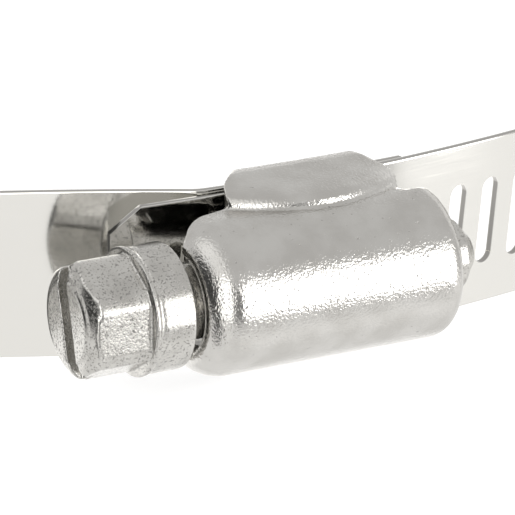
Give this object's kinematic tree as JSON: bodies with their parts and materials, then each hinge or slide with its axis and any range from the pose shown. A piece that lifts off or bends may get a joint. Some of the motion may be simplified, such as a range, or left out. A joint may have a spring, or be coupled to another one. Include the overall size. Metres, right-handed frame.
{
  "type": "hose clamp",
  "caption": "Worm-drive hose clamp: a slotted steel band drawn through a folded housing by a hex-head screw.",
  "frame": {"origin": "middle of the saddle's flat inner face, which presses on the hose", "axes": "+Y from the housing into the ring, +X along the screw away from its head, +Z across the band"},
  "size_m": [0.1258, 0.1259, 0.0148],
  "materials": {
    "band_steel": "polished stainless strip",
    "housing_steel": "tumbled stainless sheet",
    "screw_steel": "grained stainless, finely pitted"
  },
  "bodies": {
    "housing_assembly": {"housing": "housing_steel", "saddle": "housing_steel", "band_fixed_half": "band_steel"},
    "free_band": {"band_free_half": "band_steel"},
    "worm_screw": {"screw": "screw_steel"}
  },
  "joints": [
    {"name": "screw_turn", "type": "hinge", "parent": "housing_assembly", "child": "worm_screw", "pos_m": [0, -0.00639, 0], "axis": [1, 0, 0], "range_deg": [-720, 2880]},
    {"name": "band_close", "type": "hinge", "parent": "housing_assembly", "child": "free_band", "pos_m": [0, 0.11346, 0], "axis": [0, 0, -1], "range_deg": [-3, 12]}
  ],
  "couplings": [
    {"joint": "band_close", "follows": "screw_turn", "ratio": 0.004116}
  ]
}
